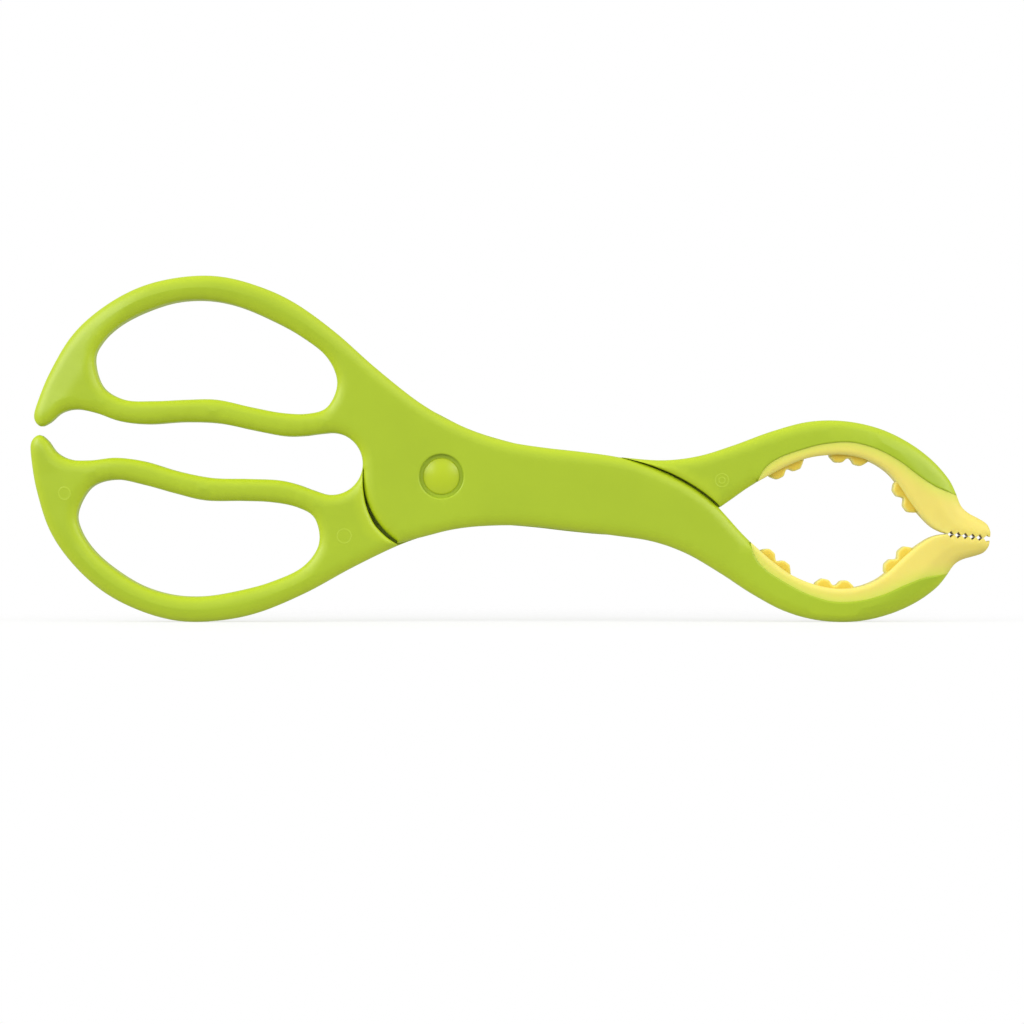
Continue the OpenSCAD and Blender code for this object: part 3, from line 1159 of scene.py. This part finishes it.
class TONGS_OT_stage(bpy.types.Operator):
    """Set the pale floor, the soft lights, the world and the camera"""

    bl_idname = "tongs.stage"
    bl_label = "Set Stage"

    def execute(self, context):
        scene = context.scene
        low, high = CAD_BOUNDS
        mesh = bpy.data.meshes.new("floor")
        corners = [(x * FLOOR_REACH, y * FLOOR_REACH, 0)
                   for x, y in ((-1, -1), (1, -1), (1, 1), (-1, 1))]
        mesh.from_pydata(corners, [], [(0, 1, 2, 3)])
        mesh.materials.append(glossy_floor("Pale floor"))
        floor = bpy.data.objects.new("floor", mesh)
        scene.collection.objects.link(floor)

        scene.world = bpy.data.worlds.new("Pale studio")
        m = Maker(scene.world, "ShaderNodeOutputWorld")
        seen = m.value("ShaderNodeLightPath", {}, {}, "Is Camera Ray")
        m.finish(m.node("ShaderNodeBackground", {}, {
            "Color": (1, 1, 1, 1),
            "Strength": STUDIO_LIGHT + (STUDIO_BACKDROP - STUDIO_LIGHT) * seen}))
        for name, place, size, radiance in LIGHTS:
            area_light(name, place, (low + high) / 2, size, radiance)

        lens = bpy.data.cameras.new("camera")
        lens.sensor_width = SENSOR_WIDTH
        lens.lens = SENSOR_WIDTH * CAMERA_DISTANCE / VIEW_WIDTH
        lens.clip_start, lens.clip_end = 0.05, 20
        camera = bpy.data.objects.new("camera", lens)
        scene.collection.objects.link(camera)
        camera.location = (CAMERA_X, low.y - CAMERA_DISTANCE, CAMERA_HEIGHT)
        camera.rotation_euler = (math.pi / 2, 0, 0)
        scene.camera = camera
        scene.view_settings.view_transform = "Standard"
        return {"FINISHED"}


class TONGS_PT_sidebar(bpy.types.Panel):
    """Lists the tongs' sizes, colours and build steps"""

    bl_idname = "TONGS_PT_sidebar"
    bl_label = "Lifting Tongs"
    bl_space_type = "VIEW_3D"
    bl_region_type = "UI"
    bl_category = "Tongs"

    def draw(self, context):
        layout = self.layout
        for group in (context.scene.tongs_sizes, context.scene.tongs_colours):
            column = layout.column(align=True)
            for name in group.bl_rna.properties.keys():
                if name not in {"rna_type", "name"}:
                    column.prop(group, name)
        for step in STEPS:
            layout.operator(step.bl_idname)


GROUPS = (TongsSizes, TongsColours)
STEPS = (TONGS_OT_arms, TONGS_OT_liners, TONGS_OT_pivot, TONGS_OT_stage)


def register():
    for kind in (*GROUPS, *STEPS, TONGS_PT_sidebar):
        bpy.utils.register_class(kind)
    bpy.types.Scene.tongs_sizes = bpy.props.PointerProperty(type=TongsSizes)
    bpy.types.Scene.tongs_colours = bpy.props.PointerProperty(type=TongsColours)


def unregister():
    del bpy.types.Scene.tongs_colours
    del bpy.types.Scene.tongs_sizes
    for kind in reversed((*GROUPS, *STEPS, TONGS_PT_sidebar)):
        bpy.utils.unregister_class(kind)


def main():
    register()
    bpy.ops.tongs.arms()
    bpy.ops.tongs.liners()
    bpy.ops.tongs.pivot()
    bpy.ops.tongs.stage()


if __name__ == "__main__":
    main()
